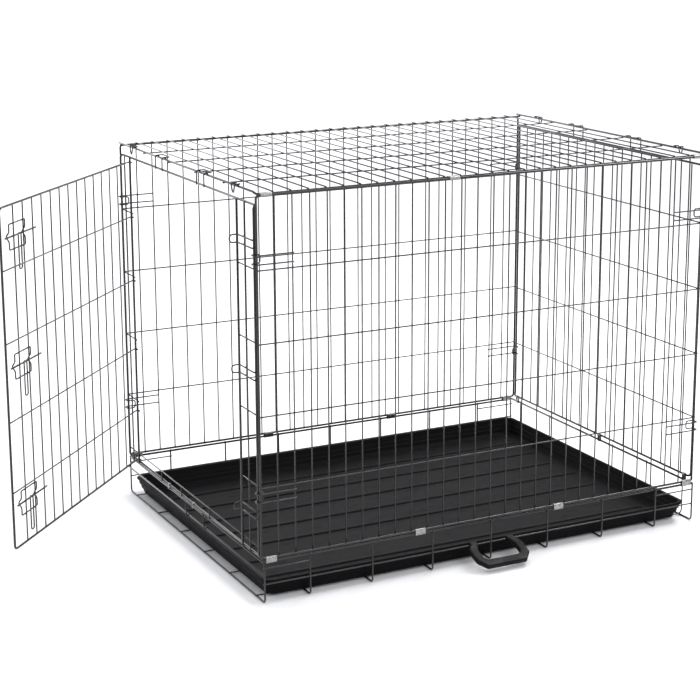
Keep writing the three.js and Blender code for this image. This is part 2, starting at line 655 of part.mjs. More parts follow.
// ---------- tray stop: a bail hung on the left end rail, stood up out of the tray's way ----------
{
  const eye = MEDIUM + GAP + THIN;
  const halfStop = STOP_WIDTH / 2;
  const hook = (y) => arcPoints([0, 0], eye, 90, -180, y, 6)
    .map((p) => new THREE.Vector3(-END_RAIL_X + p.x, p.z, END_RAIL + p.y));
  const leg = -END_RAIL_X - eye;
  const near = STOP_CENTRE - halfStop;
  const far = STOP_CENTRE + halfStop;
  const top = END_RAIL + STOP_REACH;
  const bail = roundCorners([
    [leg, near, END_RAIL + 1], [leg, near, top], [leg, far, top], [leg, far, END_RAIL + 1],
  ], 8);
  const route = [...hook(near), ...bail, ...hook(far).reverse()];
  addPiece('tray_stop', sweptWire(route, THIN), BLACK_WIRE);
}

// ---------- crimped clips ----------
// A closed band round two parallel wires, `span` apart, along local X and lying across local Z.
function clipBand(span, width) {
  const inner = THICK + GAP;
  const stadium = (shape, radius) => {
    shape.absarc(span / 2, 0, radius, -Math.PI / 2, Math.PI / 2, false);
    shape.absarc(-span / 2, 0, radius, Math.PI / 2, (3 * Math.PI) / 2, false);
    return shape;
  };
  const band = stadium(new THREE.Shape(), inner + CLIP_WALL);
  band.holes.push(stadium(new THREE.Path(), inner));
  const options = { depth: width, bevelEnabled: false, curveSegments: 3 };
  return new THREE.ExtrudeGeometry(band, options).translate(0, 0, -width / 2);
}

const betweenUprights = (index) => -HALF_L + (index + 0.5) * SIDE_PITCH;
const lastGap = SIDE_GAPS - 1;
const hingeSteps = [0, 1 / 3, 2 / 3, 1].map((share) => Math.round(share * lastGap));
for (const [name, side] of [['front', -1], ['back', 1]]) {
  hingeSteps.forEach((index, i) => {
    const clip = clipBand(RIM_DROP, CLIP_WIDTH)
      .rotateZ(Math.PI / 2).rotateX(Math.PI / 2).rotateZ(Math.PI / 2)
      .translate(betweenUprights(index), side * (HALF_W + RIM_OUT), PANEL_BOTTOM - RIM_DROP / 2);
    addPiece(`floor_clip_${name}_${i + 1}`, clip, ZINC);
  });
}
const rightGaps = [0, Math.floor((END_GAPS - 1) / 2), END_GAPS - 1];
for (const [name, end, places, span] of [
  ['left', -1, LEFT_RINGS.map((share) => share * END_HALF), RIM_DROP],
  ['right', 1, rightGaps.map((i) => -END_HALF + (i + 0.5) * endGap), RIM_DROP + RIGHT_END_RISE],
]) {
  places.forEach((y, i) => {
    const clip = clipBand(span, RING_WIDTH).rotateZ(Math.PI / 2).rotateX(Math.PI / 2)
      .translate(end * (HALF_L - RIM_OUT), y, RIM_HEIGHT + span / 2);
    addPiece(`floor_clip_${name}_${i + 1}`, clip, ZINC);
  });
}
[0, Math.round(0.4 * lastGap), lastGap].forEach((index, i) => {
  const front = -HALF_W - RIM_OUT;
  const span = Math.hypot(-LID_HALF - front, LID_RISE);
  const clip = clipBand(span, CLIP_WIDTH).rotateZ(Math.atan2(LID_RISE, -LID_HALF - front))
    .rotateX(Math.PI / 2).rotateZ(Math.PI / 2)
    .translate(betweenUprights(index), (front - LID_HALF) / 2, HEIGHT + LID_RISE / 2);
  addPiece(`lid_clip_${i + 1}`, clip, ZINC, lid);
});

// ---------- carry handle, hung on the front low rail ----------
{
  const half = HANDLE_THICKNESS / 2;
  const shoulder = [-0.27 * HANDLE_REACH, -0.7 * HANDLE_REACH];
  const rightHalf = [
    [HANDLE_GRIP, -HANDLE_REACH],
    [HANDLE_SHOULDER, shoulder[1]],
    [HANDLE_SHOULDER, shoulder[0]],
    [HANDLE_FOOT, -half],
    [HANDLE_FOOT, half],
    [HANDLE_FOOT - HANDLE_ARM, half],
    [HANDLE_FOOT - HANDLE_ARM, -half - 2],
    [HANDLE_SHOULDER - HANDLE_ARM - 4, shoulder[0] - 2],
    [HANDLE_SHOULDER - HANDLE_ARM - 4, shoulder[1] + 8],
    [HANDLE_GRIP - 8, -HANDLE_REACH + HANDLE_ARM + 6],
  ];
  const leftHalf = rightHalf.map(([x, y]) => [-x, y]).reverse();
  const outline = new THREE.Shape(
    [...rightHalf, ...leftHalf].map(([x, y]) => new THREE.Vector2(x, y)));
  const body = new THREE.ExtrudeGeometry(outline, { depth: HANDLE_THICKNESS, bevelEnabled: false })
    .translate(0, 0, -HANDLE_THICKNESS / 2);
  const bore = straightWire(
    [-HANDLE_SHOULDER, 0, 0], [HANDLE_SHOULDER, 0, 0], THIN + 2 * GAP, [0, 0, 1], 12);
  const handle = addPiece('carry_handle', cut(body, bore), HANDLE_PLASTIC);
  handle.position.set(HANDLE_CENTRE, -railY, LOW_RAIL);
  handle.rotation.x = Math.asin((LOW_RAIL - HANDLE_TIP_HEIGHT) / HANDLE_REACH);
}

export default crate;
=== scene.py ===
"""The finished look of a wire dog crate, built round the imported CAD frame. Units are metres.

Every wire is a round tube on the route that its CAD node has, with rounded cut ends and weld beads
where wires cross. The tray, the carry handle and the crimped clips are surfaces of their own.
"""
import json
import math

import bpy
import numpy as np
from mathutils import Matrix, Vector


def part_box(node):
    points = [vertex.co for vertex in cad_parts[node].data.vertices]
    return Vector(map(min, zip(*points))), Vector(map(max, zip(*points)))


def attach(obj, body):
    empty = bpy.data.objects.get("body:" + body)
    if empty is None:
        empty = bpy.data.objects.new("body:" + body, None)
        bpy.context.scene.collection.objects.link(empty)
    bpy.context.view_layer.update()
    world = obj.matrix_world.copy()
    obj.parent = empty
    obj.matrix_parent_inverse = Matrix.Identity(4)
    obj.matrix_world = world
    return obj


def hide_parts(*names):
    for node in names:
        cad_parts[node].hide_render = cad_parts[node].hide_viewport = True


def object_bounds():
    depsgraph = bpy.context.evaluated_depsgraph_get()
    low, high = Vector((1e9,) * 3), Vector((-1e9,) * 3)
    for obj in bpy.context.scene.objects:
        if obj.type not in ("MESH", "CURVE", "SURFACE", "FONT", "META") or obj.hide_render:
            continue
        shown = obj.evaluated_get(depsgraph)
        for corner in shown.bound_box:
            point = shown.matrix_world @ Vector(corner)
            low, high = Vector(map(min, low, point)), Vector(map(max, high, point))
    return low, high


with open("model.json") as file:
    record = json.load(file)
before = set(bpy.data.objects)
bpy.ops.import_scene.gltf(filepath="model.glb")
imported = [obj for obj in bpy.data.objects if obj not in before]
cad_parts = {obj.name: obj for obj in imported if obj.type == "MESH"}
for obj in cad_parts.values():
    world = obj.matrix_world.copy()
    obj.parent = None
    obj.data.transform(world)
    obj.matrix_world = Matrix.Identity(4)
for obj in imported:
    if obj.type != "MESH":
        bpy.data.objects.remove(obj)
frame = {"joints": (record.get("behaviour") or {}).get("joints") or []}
cad_lo, cad_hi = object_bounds()

# ---------- camera ----------
CAMERA_PLACE = (-1.9225, -3.5385, 1.4301)
CAMERA_AZIMUTH = 26.746
CAMERA_ELEVATION = 12.917
CAMERA_ROLL = -0.255
CAMERA_LENS = 93.47
CAMERA_SHIFT = -0.08


def make_camera():
    data = bpy.data.cameras.new("camera")
    data.sensor_width = 36
    data.lens = CAMERA_LENS
    data.shift_y = CAMERA_SHIFT
    data.clip_end = 50
    camera = bpy.data.objects.new("camera", data)
    camera.location = CAMERA_PLACE
    camera.rotation_mode = "XYZ"
    camera.rotation_euler = (
        math.radians(90 - CAMERA_ELEVATION), 0, math.radians(-CAMERA_AZIMUTH))
    camera.rotation_mode = "QUATERNION"
    roll = math.radians(CAMERA_ROLL)
    turn = camera.rotation_euler.to_quaternion()
    spin = type(turn)((0, 0, 1), roll)
    camera.rotation_quaternion = turn @ spin
    bpy.context.scene.collection.objects.link(camera)
    bpy.context.scene.camera = camera


make_camera()

# ---------- sizes: those of the frame, and the wires' own ----------
THIN = 0.0015
MEDIUM = 0.002
THICK = 0.0025
WELD = 0.0005
GAP = 0.0004
TUBE_SIDES = 12
BEND_STEPS = 7

joints = {joint["name"]: joint for joint in frame["joints"]}
front_lo, front_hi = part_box("front_panel")
right_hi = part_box("right_end_panel")[1]
tray_lo, tray_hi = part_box("tray")

HEX_FLAT = THICK * math.cos(math.radians(30))
HALF_L = front_hi.x - HEX_FLAT
HALF_W = -front_lo.y - 2 * THICK + WELD
HEIGHT = joints["lid_lift"]["pos_m"][2]
RIGHT_BOTTOM = joints["right_end_fold"]["pos_m"][2]
PANEL_BOTTOM = 0.095
OVERRUN = 0.0012
ROW_GAPS = 5
SIDE_GAPS = 28
END_HALF = right_hi.y - HEX_FLAT
END_TOP = HEIGHT - 0.020
END_GAPS = 20
ROWS = np.linspace(PANEL_BOTTOM, HEIGHT, ROW_GAPS + 1)
END_ROWS = np.append(ROWS[:-1], END_TOP)
RIM_OUT = THICK - WELD
LID_HALF = HALF_W - 0.0085
LID_HEIGHT = HEIGHT + 0.001
LID_LONG_WIRES = 4
CORNER = 0.007
HINGE_X, HINGE_Y = joints["door_swing"]["pos_m"][:2]


def between(count, start, end):
    """count places that divide start to end evenly, with neither end."""
    return np.linspace(start, end, count + 2)[1:-1]


SIDE_UPRIGHTS = between(SIDE_GAPS - 1, -HALF_L, HALF_L)


# ---------- shader maths and finishes ----------
class Value:
    """A number that changes over a surface: arithmetic on it adds Math nodes."""

    def __init__(self, tree, socket):
        self.tree = tree
        self.socket = socket

    def math(self, operation, *values, clamp=False):
        node = self.tree.nodes.new("ShaderNodeMath")
        node.operation = operation
        node.use_clamp = clamp
        for socket, value in zip(node.inputs, values):
            fill(self.tree, socket, value)
        return Value(self.tree, node.outputs[0])

    def __add__(self, other):
        return self.math("ADD", self, other)

    def __mul__(self, other):
        return self.math("MULTIPLY", self, other)

    def __sub__(self, other):
        return self.math("SUBTRACT", self, other)

    def __rsub__(self, other):
        return self.math("SUBTRACT", other, self)

    __radd__ = __add__
    __rmul__ = __mul__

    def above(self, low, high):
        """0 below low and 1 above high, smooth between."""
        node = self.tree.nodes.new("ShaderNodeMapRange")
        node.interpolation_type = "SMOOTHSTEP"
        fill(self.tree, node.inputs["Value"], self)
        fill(self.tree, node.inputs["From Min"], low)
        fill(self.tree, node.inputs["From Max"], high)
        return Value(self.tree, node.outputs["Result"])


def fill(tree, socket, value):
    """Links a Value or a socket, or sets a plain number or colour."""
    if isinstance(value, Value):
        value = value.socket
    if isinstance(value, bpy.types.NodeSocket):
        tree.links.new(value, socket)
    else:
        socket.default_value = value


class Finish:
    """A procedural material on Object coordinates."""

    def __init__(self, name, **plain):
        self.material = bpy.data.materials.new(name)
        self.material.use_nodes = True
        self.tree = self.material.node_tree
        self.shader = self.tree.nodes["Principled BSDF"]
        for socket, value in plain.items():
            self.set(socket.replace("_", " "), value)

    def set(self, socket, value):
        fill(self.tree, self.shader.inputs[socket], value)

    def node(self, kind, settings, sockets, output=0):
        made = self.tree.nodes.new(kind)
        for name, value in settings.items():
            setattr(made, name, value)
        for name, value in sockets.items():
            fill(self.tree, made.inputs[name], value)
        return Value(self.tree, made.outputs[output])

    def place(self, stretch=(1, 1, 1)):
        coordinates = self.tree.nodes.new("ShaderNodeTexCoord")
        return self.node(
            "ShaderNodeMapping", {}, {"Vector": coordinates.outputs["Object"], "Scale": stretch})

    def noise(self, scale, detail=2.0, stretch=(1, 1, 1), roughness=0.5):
        sockets = {
            "Vector": self.place(stretch), "Scale": scale, "Detail": detail,
            "Roughness": roughness}
        return self.node("ShaderNodeTexNoise", {}, sockets)

    def mix(self, share, first, second):
        """A colour from first to second as share goes from 0 to 1."""
        made = self.tree.nodes.new("ShaderNodeMix")
        made.data_type = "RGBA"
        fill(self.tree, made.inputs[0], share)
        fill(self.tree, made.inputs[6], first)
        fill(self.tree, made.inputs[7], second)
        return Value(self.tree, made.outputs[2])

    def bump(self, height, distance, strength=1.0):
        sockets = {"Height": height, "Distance": distance, "Strength": strength}
        self.set("Normal", self.node("ShaderNodeBump", {}, sockets))


def black_wire_finish():
    """Dipped gloss black: brownish where the coat is thin, with orange peel and light scuffs."""
    finish = Finish("black_dipped_wire", Specular_IOR_Level=0.40, Coat_Roughness=0.06)
    cloud = finish.noise(38, 3)
    peel = finish.noise(900, 2)
    scuff = finish.noise(260, 4, (1, 1, 0.35)).above(0.64, 0.74)
    thin_coat = cloud.above(0.35, 0.7)
    black = finish.mix(thin_coat, (0.0030, 0.0018, 0.0022, 1), (0.0120, 0.0066, 0.0082, 1))
    finish.set("Base Color", finish.mix(scuff * 0.35, black, (0.018, 0.013, 0.014, 1)))
    finish.set("Roughness", 0.20 + cloud * 0.10 + scuff * 0.22)
    finish.set("Coat Weight", 0.35 - scuff * 0.25)
    finish.bump(peel + cloud * 0.6, 0.00006, 0.6)
    return finish.material


def zinc_finish():
    """Bright zinc plate on crimped strip: faint spangle, fine rolling lines and duller spots."""
    finish = Finish("zinc_plate", Metallic=1.0)
    spangle = finish.noise(420, 3)
    lines = finish.noise(240, 3, (0.2, 6, 6))
    dull = finish.noise(160, 2).above(0.55, 0.75)
    silver = finish.mix(spangle, (0.13, 0.13, 0.13, 1), (0.46, 0.46, 0.45, 1))
    finish.set("Base Color", finish.mix(dull * 0.5, silver, (0.09, 0.085, 0.08, 1)))
    finish.set("Roughness", 0.20 + lines * 0.16 + dull * 0.15)
    finish.bump(lines + spangle * 0.5, 0.00008, 0.5)
    return finish.material


def tray_finish():
    """Moulded tray plastic: charcoal with a fine leather grain, slightly chalky where rubbed."""
    finish = Finish("tray_plastic", Specular_IOR_Level=0.065)
    grain = finish.node(
        "ShaderNodeTexVoronoi", {"feature": "SMOOTH_F1"},
        {"Vector": finish.place(), "Scale": 620.0, "Smoothness": 0.6})
    speckle = finish.noise(1400, 2)
    flow = finish.noise(6, 4, (0.35, 1, 1))
    rubbed = finish.noise(48, 5, (0.5, 1, 1)).above(0.56, 0.72)
    base = finish.mix(flow, (0.0022, 0.0020, 0.0025, 1), (0.0042, 0.0038, 0.0046, 1))
    finish.set("Base Color", finish.mix(rubbed * 0.18, base, (0.014, 0.013, 0.015, 1)))
    finish.set("Roughness", 0.50 + flow * 0.08 + rubbed * 0.10)
    finish.bump(grain + speckle * 0.4, 0.00016, 0.55)
    return finish.material


def handle_finish():
    """Injection-moulded black: an even spark texture, polished a little where it is held."""
    finish = Finish("handle_plastic", Specular_IOR_Level=0.14)
    spark = finish.noise(1100, 3)
    held = finish.noise(30, 2).above(0.45, 0.7)
    finish.set("Base Color", finish.mix(held, (0.0024, 0.0024, 0.0026, 1), (0.0050, 0.0050, 0.0054, 1)))
    finish.set("Roughness", 0.52 - held * 0.12 + spark * 0.06)
    finish.bump(spark, 0.0001, 0.6)
    return finish.material


BLACK_WIRE = black_wire_finish()
ZINC = zinc_finish()
TRAY_PLASTIC = tray_finish()
HANDLE_PLASTIC = handle_finish()


# ---------- surfaces ----------
def unit(vectors):
    return vectors / np.linalg.norm(vectors, axis=-1, keepdims=True)


def ring_faces(rings, sides, closed_along=False):
    """Quads between neighbouring rings of a tube, numbered ring by ring."""
    steps = rings if closed_along else rings - 1
    ring, side = np.meshgrid(np.arange(steps), np.arange(sides), indexing="ij")
    ahead = (ring + 1) % rings
    beside = (side + 1) % sides
    corners = [ring * sides + side, ring * sides + beside, ahead * sides + beside, ahead * sides + side]
    return np.stack(corners, -1).reshape(-1, 4)


def round_corners(corners, bend, steps=BEND_STEPS):
    """A route through corner points, each corner replaced by a smooth curve of that reach."""
    points = np.array(corners, float)
    route = [points[:1]]
    share = np.linspace(0, 1, steps + 1)[:, None]
    for before, corner, after in zip(points[:-2], points[1:-1], points[2:]):
        back, ahead = before - corner, after - corner
        reach = min(bend, 0.49 * np.linalg.norm(back), 0.49 * np.linalg.norm(ahead))
        start, end = corner + unit(back) * reach, corner + unit(ahead) * reach
        route.append((1 - share) ** 2 * start + 2 * share * (1 - share) * corner + share ** 2 * end)
    route.append(points[-1:])
    return np.concatenate(route)


def frames_along(points, closed=False):
    """Two unit vectors across a route at each point, carried along it without twist."""
    if closed:
        tangents = unit(np.roll(points, -1, 0) - np.roll(points, 1, 0))
    else:
        tangents = unit(np.gradient(points, axis=0))
    across = np.zeros_like(points)
    start = np.eye(3)[np.argmin(np.abs(tangents[0]))]
    across[0] = unit(np.cross(tangents[0], start))
    for i in range(1, len(points)):
        flat = across[i - 1] - tangents[i] * (across[i - 1] @ tangents[i])
        across[i] = unit(flat)
    return across, np.cross(tangents, across)


class Bundle:
    """Tubes, beads and other shells that make up one piece."""

    def __init__(self):
        self.vertices = []
        self.faces = []
        self.count = 0

    def add(self, vertices, faces, caps=()):
        """Adds a shell; caps are single many-sided faces."""
        self.vertices.append(vertices.reshape(-1, 3))
        self.faces += (faces + self.count).tolist()
        self.faces += [(np.asarray(cap) + self.count).tolist() for cap in caps]
        self.count += vertices.size // 3

    def add_tube(self, rings):
        """A tube from rings (count, sides, 3), with its two ends closed."""
        count, sides = rings.shape[:2]
        first = np.arange(sides)[::-1]
        last = (count - 1) * sides + np.arange(sides)
        self.add(rings, ring_faces(count, sides), [first, last])

    def straight(self, starts, ends, radius, sides=TUBE_SIDES):
        """Straight round wires: a circle carried along each, smaller at the rounded cut ends."""
        starts, ends = np.atleast_2d(starts), np.atleast_2d(ends)
        radius = np.broadcast_to(radius, len(starts))
        axis = ends - starts
        length = np.linalg.norm(axis, axis=1)
        axis = axis / length[:, None]
        across = unit(np.cross(axis, (0.36, 0.48, 0.80)))
        other = np.cross(axis, across)
        soft = 0.4 * radius
        along = np.stack([0 * length, 0.3 * soft, soft, length - soft, length - 0.3 * soft, length], 1)
        size = np.array([0.62, 0.86, 1, 1, 0.86, 0.62])
        angle = np.linspace(0, 2 * np.pi, sides, endpoint=False)
        circle = (
            np.cos(angle)[:, None] * across[:, None, :] + np.sin(angle)[:, None] * other[:, None, :])
        middle = starts[:, None, :] + along[:, :, None] * axis[:, None, :]
        rings = (
            middle[:, :, None, :]
            + (radius[:, None] * size)[:, :, None, None] * circle[:, None, :, :])
        for tube in rings:
            self.add_tube(tube)

    def bent(self, points, radius, sides=TUBE_SIDES):
        """A round wire along a route, with rounded cut ends."""
        points = np.asarray(points, float)
        first, last = unit(points[0] - points[1]), unit(points[-1] - points[-2])
        tips = np.array([0.4, 0.12])[:, None] * radius
        points = np.concatenate(
            [points[:1], points[:1] - first * tips[::-1], points[1:-1],
             points[-1:] - last * tips, points[-1:]])
        size = np.ones(len(points))
        size[[0, 1, -2, -1]] = 0.62, 0.86, 0.86, 0.62
        across, other = frames_along(points)
        angle = np.linspace(0, 2 * np.pi, sides, endpoint=False)
        circle = (
            np.cos(angle)[None, :, None] * across[:, None, :]
            + np.sin(angle)[None, :, None] * other[:, None, :])
        self.add_tube(points[:, None, :] + (radius * size)[:, None, None] * circle)

    def loop(self, points, radius, sides=TUBE_SIDES):
        """A round wire whose two ends meet; the leftover turn is shared out along it."""
        points = np.asarray(points, float)
        across, other = frames_along(points, closed=True)
        tangent = unit(points[1] - points[-1])
        carried = unit(across[-1] - tangent * (across[-1] @ tangent))
        leftover = math.atan2(carried @ other[0], carried @ across[0])
        turn = -leftover * np.arange(len(points)) / len(points)
        angle = turn[:, None] + np.linspace(0, 2 * np.pi, sides, endpoint=False)
        circle = (
            np.cos(angle)[:, :, None] * across[:, None, :]
            + np.sin(angle)[:, :, None] * other[:, None, :])
        faces = ring_faces(len(points), sides, closed_along=True)
        self.add(points[:, None, :] + radius * circle, faces)

    def beads(self, centres, size, sides=8, rings=5):
        """Weld beads: small spheres, flattened by size = (x, y, z)."""
        down = np.linspace(0.28, np.pi - 0.28, rings)
        angle = np.linspace(0, 2 * np.pi, sides, endpoint=False)
        ball = np.stack([
            np.sin(down)[:, None] * np.cos(angle), np.sin(down)[:, None] * np.sin(angle),
            np.repeat(np.cos(down)[:, None], sides, 1)], -1)
        for centre in np.atleast_2d(centres):
            self.add_tube((centre + ball * size)[::-1])

    def piece(self, name, body, slot, finish, *nodes):
        """Turns the bundle into one shaded piece that rides on a body and stands for CAD nodes."""
        mesh = bpy.data.meshes.new(name)
        mesh.from_pydata(np.concatenate(self.vertices).tolist(), [], self.faces)
        mesh.polygons.foreach_set("use_smooth", np.ones(len(mesh.polygons), bool))
        mesh.materials.append(finish)
        made = bpy.data.objects.new(name, mesh)
        bpy.context.scene.collection.objects.link(made)
        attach(made, body)
        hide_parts(*nodes)
        return made


def wires(plan, levels, start, end, radius):
    """Starts and ends of parallel wires; plan(u, v) gives the place of a point in the panel."""
    starts = np.array([plan(level, start) for level in levels])
    ends = np.array([plan(level, end) for level in levels])
    return starts, ends, radius


def panel_rim(plan, half, low, high, post_lift, rim_lift, steps=6):
    """A panel's rim: posts and rims are one wire that changes plane within each rounded corner."""
    corners = [(-half, low), (half, low), (half, high), (-half, high)]
    share = np.linspace(0, 1, steps + 1)[:, None]
    route = []
    for index, (u, v) in enumerate(corners):
        along = (u - math.copysign(CORNER, u), v, rim_lift)
        upward = (u, v - math.copysign(CORNER, v - 0.5 * (low + high)), post_lift)
        start, end = (along, upward) if index in (1, 3) else (upward, along)
        corner = np.array((u, v, 0.5 * (rim_lift + post_lift)))
        start, end = np.array(start), np.array(end)
        route.append((1 - share) ** 2 * start + 2 * share * (1 - share) * corner + share ** 2 * end)
    return np.array([plan(*point) for point in np.concatenate(route)])


# ---------- long sides ----------
def side_panel(name, side):
    """Welded mesh: uprights on the inside, rows on the outside, with thick rims and posts."""
    bundle = Bundle()
    low, high = PANEL_BOTTOM - OVERRUN, HEIGHT + OVERRUN

    def upright(x, z):
        return (x, side * (HALF_W - THIN), z)

    def row(z, x):
        return (x, side * (HALF_W + THIN - WELD), z)

    def plan(x, z, lift):
        return (x, side * (HALF_W + lift), z)

    reach = HALF_L + OVERRUN
    bundle.straight(*wires(upright, SIDE_UPRIGHTS, low, high, THIN))
    bundle.straight(*wires(row, ROWS[1:-1], -reach, reach, THIN))
    bundle.loop(panel_rim(plan, HALF_L, PANEL_BOTTOM, HEIGHT, -THICK, THICK - WELD), THICK)
    grid = np.stack(np.meshgrid(SIDE_UPRIGHTS, ROWS), -1).reshape(-1, 2)
    seam = np.column_stack([grid[:, 0], np.full(len(grid), side * HALF_W), grid[:, 1]])
    bundle.beads(seam, (0.0017, 0.0009, 0.0017), 6, 4)
    bundle.piece(name, "crate", "black_wire", BLACK_WIRE, name)


side_panel("front_panel", -1)
side_panel("back_panel", 1)


# ---------- right end ----------
def right_end():
    """The far end folds on its lowest wire, so it carries its own posts and rims."""
    bundle = Bundle()
    low, high = RIGHT_BOTTOM - OVERRUN, END_TOP + OVERRUN
    places = between(END_GAPS - 1, -END_HALF, END_HALF)
    rows = (RIGHT_BOTTOM, *END_ROWS[1:])

    def upright(y, z):
        return (HALF_L + THIN, y, z)

    def row(z, y):
        return (HALF_L - THIN + WELD, y, z)

    def plan(y, z, lift):
        return (HALF_L - lift, y, z)

    reach = END_HALF + OVERRUN
    bundle.straight(*wires(upright, places, low, high, THIN))
    bundle.straight(*wires(row, END_ROWS[1:-1], -reach, reach, THIN))
    bundle.loop(panel_rim(plan, END_HALF, RIGHT_BOTTOM, END_TOP, -THICK, THICK - WELD), THICK)
    grid = np.stack(np.meshgrid(places, rows), -1).reshape(-1, 2)
    seam = np.column_stack([np.full(len(grid), HALF_L), grid])
    bundle.beads(seam, (0.0009, 0.0017, 0.0017), 6, 4)
    bundle.piece("right_end_panel", "right_end", "black_wire", BLACK_WIRE, "right_end_panel")


right_end()

# ---------- left end: the frame round the doorway ----------
JAMB_Y = -HALF_W + 0.091
NEAR_PLAIN_Y = -0.330
FAR_PLAIN_Y = 0.351
THRESHOLD = PANEL_BOTTOM + 0.019
THRESHOLD_TIES = np.array([-0.3, 0.13, 0.45]) * END_HALF


def left_end():
    bundle = Bundle()
    low, high = PANEL_BOTTOM - OVERRUN, END_TOP + OVERRUN
    reach = END_HALF + OVERRUN

    def upright(y, z):
        return (-HALF_L - THIN, y, z)

    def post(y, z):
        return (-HALF_L - THICK, y, z)

    def row(z, y):
        return (-HALF_L + THIN - WELD, y, z)

    def plan(y, z, lift):
        return (-HALF_L + lift, y, z)

    bundle.straight(*wires(upright, (NEAR_PLAIN_Y, FAR_PLAIN_Y), low, high, THIN))
    bundle.straight(*wires(upright, THRESHOLD_TIES, low, THRESHOLD + OVERRUN, THIN))
    bundle.straight(*wires(post, (JAMB_Y, HINGE_Y), low, high, THICK))
    bundle.loop(panel_rim(plan, END_HALF, PANEL_BOTTOM, END_TOP, -THICK, THICK - WELD), THICK)
    bundle.straight(*wires(row, (THRESHOLD,), -reach, reach, THIN))
    bundle.straight(*wires(row, END_ROWS[1:-1], -reach, JAMB_Y + OVERRUN, THIN))
    bundle.straight(*wires(row, END_ROWS[1:-1], HINGE_Y - OVERRUN, reach, THIN))
    for y in (-END_HALF, NEAR_PLAIN_Y, JAMB_Y, HINGE_Y, FAR_PLAIN_Y, END_HALF):
        seam = [(-HALF_L, y, z) for z in (*END_ROWS[1:-1], THRESHOLD)]
        bundle.beads(seam, (0.0010, 0.0018, 0.0018), 6, 4)
    ends = [(-HALF_L, y, z) for y in (NEAR_PLAIN_Y, JAMB_Y, HINGE_Y, FAR_PLAIN_Y)
            for z in (PANEL_BOTTOM, END_TOP)]
    bundle.beads(ends, (0.0010, 0.0018, 0.0018), 6, 4)
    bundle.piece("left_end_frame", "crate", "black_wire", BLACK_WIRE, "left_end_frame")


left_end()


# ---------- bolt keepers ----------
def keeper(name, z):
    """A closed wire loop that stands out from the near strip for the bolt to run into."""
    near = -HALF_L - 2 * THICK - GAP - THIN
    far = near - 0.017
    plane = JAMB_Y - 0.011
    corners = [
        (near, -END_HALF - OVERRUN, z - 0.008), (near, plane, z - 0.008), (far, plane, z - 0.008),
        (far, plane, z + 0.008), (near, plane, z + 0.008), (near, -END_HALF - OVERRUN, z + 0.008)]
    bundle = Bundle()
    bundle.bent(round_corners(corners, 0.0078, 9), THIN)
    bundle.beads([(near + THIN, y, z + level) for y in (-END_HALF, NEAR_PLAIN_Y)
                  for level in (-0.008, 0.008)], (0.0014, 0.0019, 0.0019), 8, 5)
    bundle.piece(name, "crate", "black_wire", BLACK_WIRE, name)


BOLTS = ("low", "middle", "high")
BOLT_HEIGHTS = [0.5 * sum(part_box(f"bolt_keeper_{i}")[k].z for k in (0, 1)) for i in (1, 2, 3)]
for index, height in enumerate(BOLT_HEIGHTS, 1):
    keeper(f"bolt_keeper_{index}", height)


# ---------- lid, with its hooks and catches ----------
LID_SEAM = LID_HEIGHT + THICK
LID_EDGE_TOP = LID_SEAM + 2 * THICK - WELD


def lid():
    bundle = Bundle()
    hinge_end = LID_HALF + 0.0125
    front_end = -LID_HALF - 0.003
    reach = HALF_L + 0.003
    long_places = between(LID_LONG_WIRES, -LID_HALF, LID_HALF)

    def long_wire(y, x):
        return (x, y, LID_SEAM - THIN)

    def long_rim(y, x):
        return (x, y, LID_SEAM - THICK)

    def cross_wire(x, y):
        return (x, y, LID_SEAM + THIN - WELD)

    bundle.straight(*wires(long_wire, long_places, -reach, reach, THIN))
    bundle.straight(*wires(long_rim, (LID_HALF,), -reach, reach, THICK))
    bundle.straight(*wires(cross_wire, SIDE_UPRIGHTS, front_end, hinge_end, THIN))
    high, low = LID_SEAM + THICK - WELD, LID_SEAM - THICK
    share = np.linspace(0, 1, 9)[:, None]
    corner = np.array((HALF_L, -LID_HALF, 0.5 * (high + low)))
    start = np.array((HALF_L, -LID_HALF + CORNER, high))
    end = np.array((HALF_L - CORNER, -LID_HALF, low))
    right = (1 - share) ** 2 * start + 2 * share * (1 - share) * corner + share ** 2 * end
    left = right[::-1] * (-1, 1, 1)
    bundle.bent(np.concatenate([
        [(HALF_L, hinge_end, high)], right, left, [(-HALF_L, hinge_end, high)]]), THICK)
    grid = np.stack(np.meshgrid(SIDE_UPRIGHTS, [-LID_HALF, *long_places, LID_HALF]), -1)
    seam = np.column_stack([grid.reshape(-1, 2), np.full(grid.size // 2, LID_SEAM)])
    bundle.beads(seam, (0.0017, 0.0017, 0.0009), 6, 4)
    bundle.piece("top_panel", "lid", "black_wire", BLACK_WIRE, "top_panel")


def lid_hook(name):
    """A U of wire laid over the lid's end rim, both legs bent down outside the end."""
    lo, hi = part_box(name)
    end = 1 if lo.x > 0 else -1
    outside = end * max(abs(lo.x), abs(hi.x)) - end * THIN
    inside = end * min(abs(lo.x), abs(hi.x)) + end * THIN
    top, low = hi.z - THIN, lo.z
    sides = lo.y + THIN, hi.y - THIN
    corners = [
        (outside, sides[0], low), (outside, sides[0], top), (inside, sides[0], top),
        (inside, sides[1], top), (outside, sides[1], top), (outside, sides[1], low)]
    bundle = Bundle()
    bundle.bent(round_corners(corners, 0.006), THIN)
    for y in sides:
        bundle.beads([(end * HALF_L, y, LID_EDGE_TOP + 0.0002)], (0.0028, 0.0021, 0.0011))
    bundle.piece(name, "lid", "black_wire", BLACK_WIRE, name)


